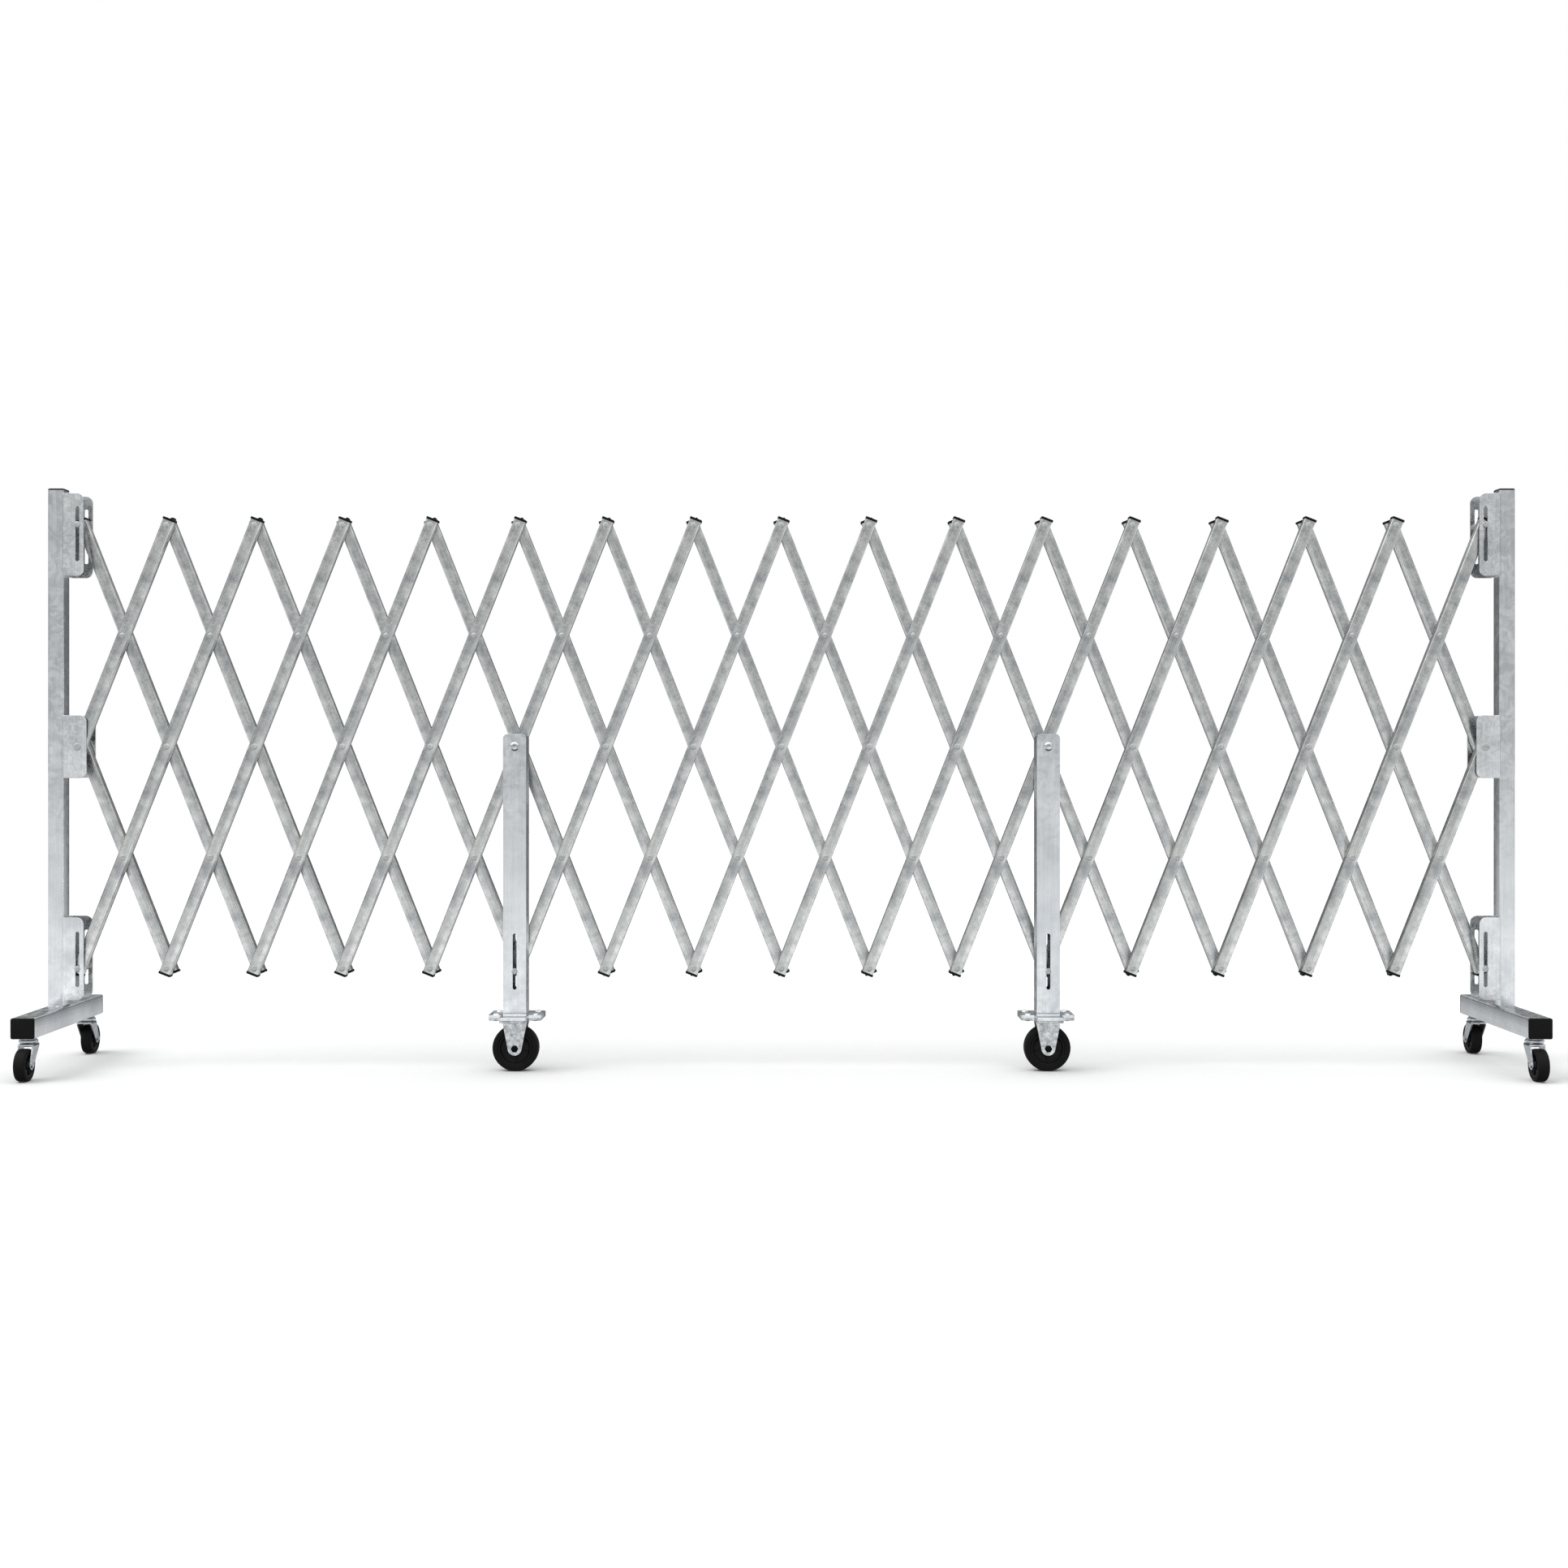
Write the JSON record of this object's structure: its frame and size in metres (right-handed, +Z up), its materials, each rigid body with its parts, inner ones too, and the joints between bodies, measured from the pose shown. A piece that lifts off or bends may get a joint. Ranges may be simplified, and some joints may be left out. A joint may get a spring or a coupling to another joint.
{
  "type": "expanding crowd control barrier",
  "caption": "Folding aluminium lattice barrier between two end posts on castors, with two wheeled middle posts, drawn partly pulled out.",
  "frame": {"origin": "on the floor, in the middle of the barrier", "axes": "+X along the barrier, +Y towards its rear, away from the middle posts, +Z up"},
  "size_m": [2.584, 0.385, 1.016],
  "materials": {
    "slat_tube": "mill finish, brushed along the tube",
    "post_tube": "satin anodised",
    "bracket_sheet": "satin",
    "black_plastic": "matte moulded",
    "castor_steel": "zinc plated",
    "wheel_rubber": "matte"
  },
  "bodies": {
    "left_end": {"left_post": "post_tube", "left_foot": "post_tube", "left_caps": "black_plastic", "left_brackets": "bracket_sheet", "left_castor_stems": "castor_steel"},
    "right_end": {"right_post": "post_tube", "right_foot": "post_tube", "right_caps": "black_plastic", "right_brackets": "bracket_sheet", "right_castor_stems": "castor_steel"},
    "left_middle_post": {"left_prop": "post_tube", "left_prop_base": "castor_steel", "left_prop_fork": "castor_steel"},
    "left_middle_wheel": {"left_prop_wheel": "wheel_rubber"},
    "left_front_castor": {"left_front_fork": "castor_steel"},
    "left_front_roller": {"left_front_wheel": "wheel_rubber"},
    "left_rear_castor": {"left_rear_fork": "castor_steel"},
    "left_rear_roller": {"left_rear_wheel": "wheel_rubber"},
    "right_middle_post": {"right_prop": "post_tube", "right_prop_base": "castor_steel", "right_prop_fork": "castor_steel"},
    "right_middle_wheel": {"right_prop_wheel": "wheel_rubber"},
    "right_front_castor": {"right_front_fork": "castor_steel"},
    "right_front_roller": {"right_front_wheel": "wheel_rubber"},
    "right_rear_castor": {"right_rear_fork": "castor_steel"},
    "right_rear_roller": {"right_rear_wheel": "wheel_rubber"},
    "slat_front_00": {"slat_front_00": "slat_tube"},
    "slat_rear_00": {"slat_rear_00": "slat_tube"},
    "slat_front_01": {"slat_front_01": "slat_tube"},
    "slat_rear_01": {"slat_rear_01": "slat_tube"},
    "slat_front_02": {"slat_front_02": "slat_tube"},
    "slat_rear_02": {"slat_rear_02": "slat_tube"},
    "slat_front_03": {"slat_front_03": "slat_tube"},
    "slat_rear_03": {"slat_rear_03": "slat_tube"},
    "slat_front_04": {"slat_front_04": "slat_tube"},
    "slat_rear_04": {"slat_rear_04": "slat_tube"},
    "slat_front_05": {"slat_front_05": "slat_tube"},
    "slat_rear_05": {"slat_rear_05": "slat_tube"},
    "slat_front_06": {"slat_front_06": "slat_tube"},
    "slat_rear_06": {"slat_rear_06": "slat_tube"},
    "slat_front_07": {"slat_front_07": "slat_tube"},
    "slat_rear_07": {"slat_rear_07": "slat_tube"},
    "slat_front_08": {"slat_front_08": "slat_tube"},
    "slat_rear_08": {"slat_rear_08": "slat_tube"},
    "slat_front_09": {"slat_front_09": "slat_tube"},
    "slat_rear_09": {"slat_rear_09": "slat_tube"},
    "slat_front_10": {"slat_front_10": "slat_tube"},
    "slat_rear_10": {"slat_rear_10": "slat_tube"},
    "slat_front_11": {"slat_front_11": "slat_tube"},
    "slat_rear_11": {"slat_rear_11": "slat_tube"},
    "slat_front_12": {"slat_front_12": "slat_tube"},
    "slat_rear_12": {"slat_rear_12": "slat_tube"},
    "slat_front_13": {"slat_front_13": "slat_tube"},
    "slat_rear_13": {"slat_rear_13": "slat_tube"},
    "slat_front_14": {"slat_front_14": "slat_tube"},
    "slat_rear_14": {"slat_rear_14": "slat_tube"},
    "slat_front_15": {"slat_front_15": "slat_tube"},
    "slat_rear_15": {"slat_rear_15": "slat_tube"},
    "slat_front_16": {"slat_front_16": "slat_tube"},
    "slat_rear_16": {"slat_rear_16": "slat_tube"}
  },
  "joints": [
    {"name": "fold", "type": "hinge", "parent": "left_end", "child": "slat_front_00", "pos_m": [-1.23101, 0, 0.56298], "axis": [0, 1, 0], "range_deg": [-17.6, 16.9]},
    {"name": "pivot_slat_rear_00", "type": "hinge", "parent": "left_end", "child": "slat_rear_00", "pos_m": [-1.23101, 0, 0.56298], "axis": [0, 1, 0], "range_deg": [-16.9, 17.6]},
    {"name": "pivot_slat_rear_01", "type": "hinge", "parent": "slat_front_00", "child": "slat_rear_01", "pos_m": [-1.15407, 0, 0.75731], "axis": [0, 1, 0], "range_deg": [-33.8, 35.2]},
    {"name": "pivot_slat_front_03", "type": "hinge", "parent": "slat_rear_01", "child": "slat_front_03", "pos_m": [-0.92326, 0, 0.17433], "axis": [0, 1, 0], "range_deg": [-35.2, 33.8]},
    {"name": "pivot_slat_rear_05", "type": "hinge", "parent": "slat_front_03", "child": "slat_rear_05", "pos_m": [-0.6155, 0, 0.95163], "axis": [0, 1, 0], "range_deg": [-33.8, 35.2]},
    {"name": "pivot_slat_front_07", "type": "hinge", "parent": "slat_rear_05", "child": "slat_front_07", "pos_m": [-0.30775, 0, 0.17433], "axis": [0, 1, 0], "range_deg": [-35.2, 33.8]},
    {"name": "pivot_slat_rear_09", "type": "hinge", "parent": "slat_front_07", "child": "slat_rear_09", "pos_m": [0, 0, 0.95163], "axis": [0, 1, 0], "range_deg": [-33.8, 35.2]},
    {"name": "pivot_slat_front_11", "type": "hinge", "parent": "slat_rear_09", "child": "slat_front_11", "pos_m": [0.30775, 0, 0.17433], "axis": [0, 1, 0], "range_deg": [-35.2, 33.8]},
    {"name": "pivot_slat_rear_13", "type": "hinge", "parent": "slat_front_11", "child": "slat_rear_13", "pos_m": [0.6155, 0, 0.95163], "axis": [0, 1, 0], "range_deg": [-33.8, 35.2]},
    {"name": "pivot_slat_front_15", "type": "hinge", "parent": "slat_rear_13", "child": "slat_front_15", "pos_m": [0.92326, 0, 0.17433], "axis": [0, 1, 0], "range_deg": [-35.2, 33.8]},
    {"name": "pivot_slat_rear_16", "type": "hinge", "parent": "slat_front_15", "child": "slat_rear_16", "pos_m": [1.15407, 0, 0.75731], "axis": [0, 1, 0], "range_deg": [-33.8, 35.2]},
    {"name": "right_end_pivot", "type": "hinge", "parent": "slat_rear_16", "child": "right_end", "pos_m": [1.23101, 0, 0.56298], "axis": [0, 1, 0], "range_deg": [-17.6, 16.9]},
    {"name": "pivot_slat_front_16", "type": "hinge", "parent": "right_end", "child": "slat_front_16", "pos_m": [1.23101, 0, 0.56298], "axis": [0, 1, 0], "range_deg": [-17.6, 16.9]},
    {"name": "pivot_slat_front_01", "type": "hinge", "parent": "slat_rear_01", "child": "slat_front_01", "pos_m": [-1.07713, 0, 0.56298], "axis": [0, 1, 0], "range_deg": [-35.2, 33.8]},
    {"name": "pivot_slat_front_02", "type": "hinge", "parent": "slat_rear_01", "child": "slat_front_02", "pos_m": [-1.00019, 0, 0.36866], "axis": [0, 1, 0], "range_deg": [-35.2, 33.8]},
    {"name": "pivot_slat_front_04", "type": "hinge", "parent": "slat_rear_05", "child": "slat_front_04", "pos_m": [-0.53857, 0, 0.75731], "axis": [0, 1, 0], "range_deg": [-35.2, 33.8]},
    {"name": "pivot_slat_front_05", "type": "hinge", "parent": "slat_rear_05", "child": "slat_front_05", "pos_m": [-0.46163, 0, 0.56298], "axis": [0, 1, 0], "range_deg": [-35.2, 33.8]},
    {"name": "pivot_slat_front_06", "type": "hinge", "parent": "slat_rear_05", "child": "slat_front_06", "pos_m": [-0.38469, 0, 0.36866], "axis": [0, 1, 0], "range_deg": [-35.2, 33.8]},
    {"name": "pivot_slat_front_08", "type": "hinge", "parent": "slat_rear_09", "child": "slat_front_08", "pos_m": [0.07694, 0, 0.75731], "axis": [0, 1, 0], "range_deg": [-35.2, 33.8]},
    {"name": "pivot_slat_front_09", "type": "hinge", "parent": "slat_rear_09", "child": "slat_front_09", "pos_m": [0.15388, 0, 0.56298], "axis": [0, 1, 0], "range_deg": [-35.2, 33.8]},
    {"name": "pivot_slat_front_10", "type": "hinge", "parent": "slat_rear_09", "child": "slat_front_10", "pos_m": [0.23081, 0, 0.36866], "axis": [0, 1, 0], "range_deg": [-35.2, 33.8]},
    {"name": "pivot_slat_front_12", "type": "hinge", "parent": "slat_rear_13", "child": "slat_front_12", "pos_m": [0.69244, 0, 0.75731], "axis": [0, 1, 0], "range_deg": [-35.2, 33.8]},
    {"name": "pivot_slat_front_13", "type": "hinge", "parent": "slat_rear_13", "child": "slat_front_13", "pos_m": [0.76938, 0, 0.56298], "axis": [0, 1, 0], "range_deg": [-35.2, 33.8]},
    {"name": "pivot_slat_front_14", "type": "hinge", "parent": "slat_rear_13", "child": "slat_front_14", "pos_m": [0.84632, 0, 0.36866], "axis": [0, 1, 0], "range_deg": [-35.2, 33.8]},
    {"name": "pivot_slat_rear_02", "type": "hinge", "parent": "slat_front_03", "child": "slat_rear_02", "pos_m": [-0.84632, 0, 0.36866], "axis": [0, 1, 0], "range_deg": [-33.8, 35.2]},
    {"name": "pivot_slat_rear_03", "type": "hinge", "parent": "slat_front_03", "child": "slat_rear_03", "pos_m": [-0.76938, 0, 0.56298], "axis": [0, 1, 0], "range_deg": [-33.8, 35.2]},
    {"name": "pivot_slat_rear_04", "type": "hinge", "parent": "slat_front_03", "child": "slat_rear_04", "pos_m": [-0.69244, 0, 0.75731], "axis": [0, 1, 0], "range_deg": [-33.8, 35.2]},
    {"name": "pivot_slat_rear_06", "type": "hinge", "parent": "slat_front_07", "child": "slat_rear_06", "pos_m": [-0.23081, 0, 0.36866], "axis": [0, 1, 0], "range_deg": [-33.8, 35.2]},
    {"name": "pivot_slat_rear_07", "type": "hinge", "parent": "slat_front_07", "child": "slat_rear_07", "pos_m": [-0.15388, 0, 0.56298], "axis": [0, 1, 0], "range_deg": [-33.8, 35.2]},
    {"name": "pivot_slat_rear_08", "type": "hinge", "parent": "slat_front_07", "child": "slat_rear_08", "pos_m": [-0.07694, 0, 0.75731], "axis": [0, 1, 0], "range_deg": [-33.8, 35.2]},
    {"name": "pivot_slat_rear_10", "type": "hinge", "parent": "slat_front_11", "child": "slat_rear_10", "pos_m": [0.38469, 0, 0.36866], "axis": [0, 1, 0], "range_deg": [-33.8, 35.2]},
    {"name": "pivot_slat_rear_11", "type": "hinge", "parent": "slat_front_11", "child": "slat_rear_11", "pos_m": [0.46163, 0, 0.56298], "axis": [0, 1, 0], "range_deg": [-33.8, 35.2]},
    {"name": "pivot_slat_rear_12", "type": "hinge", "parent": "slat_front_11", "child": "slat_rear_12", "pos_m": [0.53857, 0, 0.75731], "axis": [0, 1, 0], "range_deg": [-33.8, 35.2]},
    {"name": "pivot_slat_rear_14", "type": "hinge", "parent": "slat_front_15", "child": "slat_rear_14", "pos_m": [1.00019, 0, 0.36866], "axis": [0, 1, 0], "range_deg": [-33.8, 35.2]},
    {"name": "pivot_slat_rear_15", "type": "hinge", "parent": "slat_front_15", "child": "slat_rear_15", "pos_m": [1.07713, 0, 0.56298], "axis": [0, 1, 0], "range_deg": [-33.8, 35.2]},
    {"name": "left_middle_post_pivot", "type": "hinge", "parent": "slat_rear_05", "child": "left_middle_post", "pos_m": [-0.46163, 0, 0.56298], "axis": [0, 1, 0], "range_deg": [-17.6, 16.9]},
    {"name": "right_middle_post_pivot", "type": "hinge", "parent": "slat_front_11", "child": "right_middle_post", "pos_m": [0.46163, 0, 0.56298], "axis": [0, 1, 0], "range_deg": [-16.9, 17.6]},
    {"name": "left_front_swivel", "type": "hinge", "parent": "left_end", "child": "left_front_castor", "pos_m": [-1.27201, -0.145, 0.0595], "axis": [0, 0, 1], "continuous": true},
    {"name": "left_front_roll", "type": "hinge", "parent": "left_front_castor", "child": "left_front_roller", "pos_m": [-1.27201, -0.165, 0.0275], "axis": [1, 0, 0], "continuous": true},
    {"name": "left_rear_swivel", "type": "hinge", "parent": "left_end", "child": "left_rear_castor", "pos_m": [-1.27201, 0.145, 0.0595], "axis": [0, 0, 1], "continuous": true},
    {"name": "left_rear_roll", "type": "hinge", "parent": "left_rear_castor", "child": "left_rear_roller", "pos_m": [-1.27201, 0.165, 0.0275], "axis": [1, 0, 0], "continuous": true},
    {"name": "left_middle_roll", "type": "hinge", "parent": "left_middle_post", "child": "left_middle_wheel", "pos_m": [-0.46163, -0.0423, 0.04], "axis": [0, 1, 0], "continuous": true},
    {"name": "right_front_swivel", "type": "hinge", "parent": "right_end", "child": "right_front_castor", "pos_m": [1.27201, -0.145, 0.0595], "axis": [0, 0, 1], "continuous": true},
    {"name": "right_front_roll", "type": "hinge", "parent": "right_front_castor", "child": "right_front_roller", "pos_m": [1.27201, -0.165, 0.0275], "axis": [1, 0, 0], "continuous": true},
    {"name": "right_rear_swivel", "type": "hinge", "parent": "right_end", "child": "right_rear_castor", "pos_m": [1.27201, 0.145, 0.0595], "axis": [0, 0, 1], "continuous": true},
    {"name": "right_rear_roll", "type": "hinge", "parent": "right_rear_castor", "child": "right_rear_roller", "pos_m": [1.27201, 0.165, 0.0275], "axis": [1, 0, 0], "continuous": true},
    {"name": "right_middle_roll", "type": "hinge", "parent": "right_middle_post", "child": "right_middle_wheel", "pos_m": [0.46163, -0.0423, 0.04], "axis": [0, 1, 0], "continuous": true}
  ],
  "couplings": [
    {"joint": "pivot_slat_rear_00", "follows": "fold", "ratio": -1},
    {"joint": "pivot_slat_rear_01", "follows": "fold", "ratio": -2},
    {"joint": "pivot_slat_front_03", "follows": "fold", "ratio": 2},
    {"joint": "pivot_slat_rear_05", "follows": "fold", "ratio": -2},
    {"joint": "pivot_slat_front_07", "follows": "fold", "ratio": 2},
    {"joint": "pivot_slat_rear_09", "follows": "fold", "ratio": -2},
    {"joint": "pivot_slat_front_11", "follows": "fold", "ratio": 2},
    {"joint": "pivot_slat_rear_13", "follows": "fold", "ratio": -2},
    {"joint": "pivot_slat_front_15", "follows": "fold", "ratio": 2},
    {"joint": "pivot_slat_rear_16", "follows": "fold", "ratio": -2},
    {"joint": "right_end_pivot", "follows": "fold", "ratio": 1},
    {"joint": "pivot_slat_front_16", "follows": "fold", "ratio": 1},
    {"joint": "pivot_slat_front_01", "follows": "fold", "ratio": 2},
    {"joint": "pivot_slat_front_02", "follows": "fold", "ratio": 2},
    {"joint": "pivot_slat_front_04", "follows": "fold", "ratio": 2},
    {"joint": "pivot_slat_front_05", "follows": "fold", "ratio": 2},
    {"joint": "pivot_slat_front_06", "follows": "fold", "ratio": 2},
    {"joint": "pivot_slat_front_08", "follows": "fold", "ratio": 2},
    {"joint": "pivot_slat_front_09", "follows": "fold", "ratio": 2},
    {"joint": "pivot_slat_front_10", "follows": "fold", "ratio": 2},
    {"joint": "pivot_slat_front_12", "follows": "fold", "ratio": 2},
    {"joint": "pivot_slat_front_13", "follows": "fold", "ratio": 2},
    {"joint": "pivot_slat_front_14", "follows": "fold", "ratio": 2},
    {"joint": "pivot_slat_rear_02", "follows": "fold", "ratio": -2},
    {"joint": "pivot_slat_rear_03", "follows": "fold", "ratio": -2},
    {"joint": "pivot_slat_rear_04", "follows": "fold", "ratio": -2},
    {"joint": "pivot_slat_rear_06", "follows": "fold", "ratio": -2},
    {"joint": "pivot_slat_rear_07", "follows": "fold", "ratio": -2},
    {"joint": "pivot_slat_rear_08", "follows": "fold", "ratio": -2},
    {"joint": "pivot_slat_rear_10", "follows": "fold", "ratio": -2},
    {"joint": "pivot_slat_rear_11", "follows": "fold", "ratio": -2},
    {"joint": "pivot_slat_rear_12", "follows": "fold", "ratio": -2},
    {"joint": "pivot_slat_rear_14", "follows": "fold", "ratio": -2},
    {"joint": "pivot_slat_rear_15", "follows": "fold", "ratio": -2},
    {"joint": "left_middle_post_pivot", "follows": "fold", "ratio": 1},
    {"joint": "right_middle_post_pivot", "follows": "fold", "ratio": -1}
  ]
}
